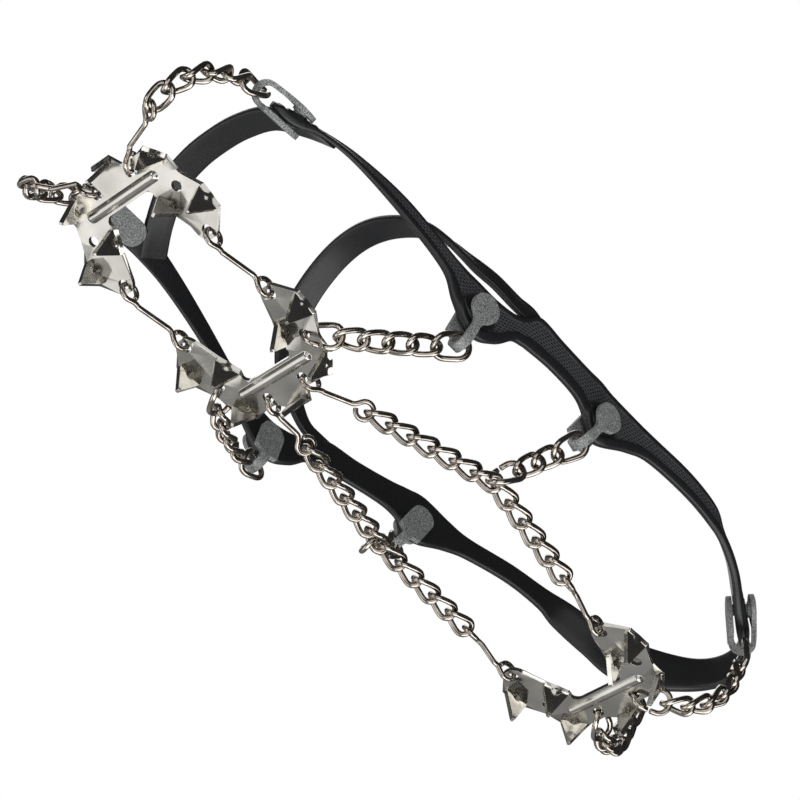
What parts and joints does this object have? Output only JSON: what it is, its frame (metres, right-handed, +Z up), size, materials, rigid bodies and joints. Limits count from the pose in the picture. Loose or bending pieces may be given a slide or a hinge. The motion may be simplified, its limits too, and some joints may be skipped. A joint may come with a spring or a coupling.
{
  "type": "ice cleat",
  "caption": "Slip-on shoe ice cleat: elastic harness round the shoe, hook clips, curb chain and wire links that carry spiked steel plates under the sole.",
  "frame": {"origin": "on the tread plane under the sole, midway along the shoe, at the shoe that the harness holds", "axes": "+X to the toe, +Y to the wearer's left, +Z up from the tread to the shoe"},
  "size_m": [0.3015, 0.1158, 0.09],
  "materials": {
    "rubber": "satin moulded elastomer",
    "plate_steel": "tumbled stainless sheet",
    "wire_steel": "bright drawn stainless wire",
    "clip_steel": "blasted stainless strip"
  },
  "bodies": {
    "harness": {"harness": "rubber"},
    "ball_plate": {"ball_plate": "plate_steel"},
    "heel_plate": {"heel_plate": "plate_steel"},
    "fore_links": {"fore_link_left": "wire_steel", "fore_link_right": "wire_steel"},
    "toe_plate": {"toe_plate": "plate_steel"},
    "toe_clip_left": {"toe_clip_left": "clip_steel"},
    "front_clip_left": {"front_clip_left": "clip_steel"},
    "rear_clip_left": {"rear_clip_left": "clip_steel"},
    "heel_clip_left": {"heel_clip_left": "clip_steel"},
    "toe_run_left": {"toe_link_left": "wire_steel", "toe_chain_left": "wire_steel"},
    "side_run_left": {"side_chain_left": "wire_steel"},
    "branch_run_left": {"branch_chain_left": "wire_steel"},
    "heel_run_left": {"heel_chain_left": "wire_steel"},
    "arch_run_left": {"arch_link_left": "wire_steel", "arch_chain_left": "wire_steel", "rear_chain_left": "wire_steel", "heel_link_left": "wire_steel"},
    "toe_clip_right": {"toe_clip_right": "clip_steel"},
    "front_clip_right": {"front_clip_right": "clip_steel"},
    "rear_clip_right": {"rear_clip_right": "clip_steel"},
    "heel_clip_right": {"heel_clip_right": "clip_steel"},
    "toe_run_right": {"toe_link_right": "wire_steel", "toe_chain_right": "wire_steel"},
    "side_run_right": {"side_chain_right": "wire_steel"},
    "branch_run_right": {"branch_chain_right": "wire_steel"},
    "heel_run_right": {"heel_chain_right": "wire_steel"},
    "arch_run_right": {"arch_link_right": "wire_steel", "arch_chain_right": "wire_steel", "rear_chain_right": "wire_steel", "heel_link_right": "wire_steel"}
  },
  "joints": [
    {"name": "forefoot_flex", "type": "hinge", "parent": "harness", "child": "fore_links", "pos_m": [0.07503, 0, 0.00363], "axis": [0, -1, 0], "range_deg": [0, 12], "deforming": ["harness"]},
    {"name": "toe_plate_flex", "type": "hinge", "parent": "fore_links", "child": "toe_plate", "pos_m": [0.10401, 0, 0.00423], "axis": [0, -1, 0], "range_deg": [0, 12]},
    {"name": "ball_plate_rock", "type": "hinge", "parent": "harness", "child": "ball_plate", "pos_m": [0.05845, 0, 0.0016], "axis": [0, -1, 0], "range_deg": [-1.5, 1.5]},
    {"name": "heel_plate_rock", "type": "hinge", "parent": "harness", "child": "heel_plate", "pos_m": [-0.10105, 0, 0.0017], "axis": [0, -1, 0], "range_deg": [-1.5, 1.5]},
    {"name": "toe_clip_swivel_left", "type": "hinge", "parent": "toe_plate", "child": "toe_clip_left", "pos_m": [0.1049, 0.0416, 0.0466], "axis": [0.0518, 0.7413, 0.6691], "range_deg": [-10, 10]},
    {"name": "toe_run_swing_left", "type": "hinge", "parent": "toe_plate", "child": "toe_run_left", "pos_m": [0.13137, 0.0084, 0.01223], "axis": [-0.9751, -0.1786, -0.1313], "range_deg": [-3.8, 3.8]},
    {"name": "toe_clip_swivel_right", "type": "hinge", "parent": "toe_plate", "child": "toe_clip_right", "pos_m": [0.1049, -0.0416, 0.0466], "axis": [-0.0518, 0.7413, -0.6691], "range_deg": [-10, 10]},
    {"name": "toe_run_swing_right", "type": "hinge", "parent": "toe_plate", "child": "toe_run_right", "pos_m": [0.13137, -0.0084, 0.01223], "axis": [0.9751, -0.1786, 0.1313], "range_deg": [-3.8, 3.8]},
    {"name": "front_clip_swivel_left", "type": "hinge", "parent": "harness", "child": "front_clip_left", "pos_m": [0.0221, 0.052, 0.0311], "axis": [0, 0.9848, -0.1736], "range_deg": [-6, 6]},
    {"name": "side_run_swing_left", "type": "hinge", "parent": "harness", "child": "side_run_left", "pos_m": [0.05845, 0.0208, 0.0016], "axis": [0, -0.4322, 0.9018], "range_deg": [-1.8, 1.8]},
    {"name": "front_clip_swivel_right", "type": "hinge", "parent": "harness", "child": "front_clip_right", "pos_m": [0.0221, -0.052, 0.0311], "axis": [0, 0.9848, 0.1736], "range_deg": [-6, 6]},
    {"name": "side_run_swing_right", "type": "hinge", "parent": "harness", "child": "side_run_right", "pos_m": [0.05845, -0.0208, 0.0016], "axis": [0, -0.4322, -0.9018], "range_deg": [-1.8, 1.8]},
    {"name": "rear_clip_swivel_left", "type": "hinge", "parent": "harness", "child": "rear_clip_left", "pos_m": [-0.0392, 0.0446, 0.0454], "axis": [-0.0695, 0.9938, -0.0872], "range_deg": [-6, 2]},
    {"name": "branch_run_swing_left", "type": "hinge", "parent": "harness", "child": "branch_run_left", "pos_m": [-0.01823, 0.02921, 0.00661], "axis": [-0.0472, -0.861, 0.5064], "range_deg": [-3.3, 1.4]},
    {"name": "rear_clip_swivel_right", "type": "hinge", "parent": "harness", "child": "rear_clip_right", "pos_m": [-0.0392, -0.0446, 0.0454], "axis": [0.0695, 0.9938, 0.0872], "range_deg": [-6, 2]},
    {"name": "branch_run_swing_right", "type": "hinge", "parent": "harness", "child": "branch_run_right", "pos_m": [-0.01823, -0.02921, 0.00661], "axis": [0.0472, -0.861, -0.5064], "range_deg": [-3.3, 1.4]},
    {"name": "heel_clip_swivel_left", "type": "hinge", "parent": "harness", "child": "heel_clip_left", "pos_m": [-0.1293, 0.0259, 0.0512], "axis": [-0.6588, 0.6822, 0.3173], "range_deg": [-10, 10]},
    {"name": "heel_run_swing_left", "type": "hinge", "parent": "harness", "child": "heel_run_left", "pos_m": [-0.11277, 0.0084, 0.00312], "axis": [0.6896, -0.3208, 0.6493], "range_deg": [-3.9, 3.9]},
    {"name": "heel_clip_swivel_right", "type": "hinge", "parent": "harness", "child": "heel_clip_right", "pos_m": [-0.1293, -0.0259, 0.0512], "axis": [0.6588, 0.6822, -0.3173], "range_deg": [-10, 10]},
    {"name": "heel_run_swing_right", "type": "hinge", "parent": "harness", "child": "heel_run_right", "pos_m": [-0.11277, -0.0084, 0.00312], "axis": [-0.6896, -0.3208, -0.6493], "range_deg": [-3.9, 3.9]},
    {"name": "arch_roll_left", "type": "hinge", "parent": "harness", "child": "arch_run_left", "pos_m": [0.04674, 0.0084, 0.00016], "axis": [-0.9955, 0.0948, -0.0035], "range_deg": [-1, 1]},
    {"name": "arch_roll_right", "type": "hinge", "parent": "harness", "child": "arch_run_right", "pos_m": [0.04674, -0.0084, 0.00016], "axis": [0.9955, 0.0948, 0.0035], "range_deg": [-1, 1]}
  ],
  "couplings": [
    {"joint": "toe_plate_flex", "follows": "forefoot_flex", "ratio": 1},
    {"joint": "toe_run_swing_left", "follows": "toe_clip_swivel_left", "ratio": 0.32619},
    {"joint": "toe_run_swing_right", "follows": "toe_clip_swivel_right", "ratio": 0.32619},
    {"joint": "side_run_swing_left", "follows": "front_clip_swivel_left", "ratio": 0.21622},
    {"joint": "side_run_swing_right", "follows": "front_clip_swivel_right", "ratio": 0.21622},
    {"joint": "branch_run_swing_left", "follows": "rear_clip_swivel_left", "ratio": 0.46583},
    {"joint": "branch_run_swing_right", "follows": "rear_clip_swivel_right", "ratio": 0.46583},
    {"joint": "heel_run_swing_left", "follows": "heel_clip_swivel_left", "ratio": 0.34046},
    {"joint": "heel_run_swing_right", "follows": "heel_clip_swivel_right", "ratio": 0.34046}
  ]
}
